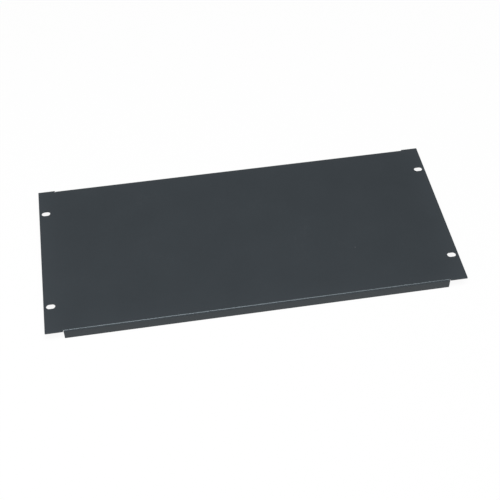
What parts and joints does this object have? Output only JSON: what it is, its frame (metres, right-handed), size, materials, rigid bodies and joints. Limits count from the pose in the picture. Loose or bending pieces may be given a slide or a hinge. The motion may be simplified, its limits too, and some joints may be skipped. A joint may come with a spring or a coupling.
{
  "type": "rack blanking panel",
  "caption": "Plain folded steel panel that closes an empty space in a 19 inch equipment rack: a flat face with slotted ears and a flange turned back along its upper and lower edges.",
  "frame": {"origin": "centre of the panel in plan, level with the free edges of its two flanges, on which it lies", "axes": "+X along the width, towards the right-hand ear seen from the front; +Y towards the edge that is uppermost in a rack; +Z out of the front of the face"},
  "size_m": [0.4812, 0.2214, 0.0127],
  "materials": {
    "powder_coat": "fine-grained charcoal powder coat, low sheen"
  },
  "bodies": {
    "root": {"blanking_panel": "powder_coat"}
  },
  "joints": []
}
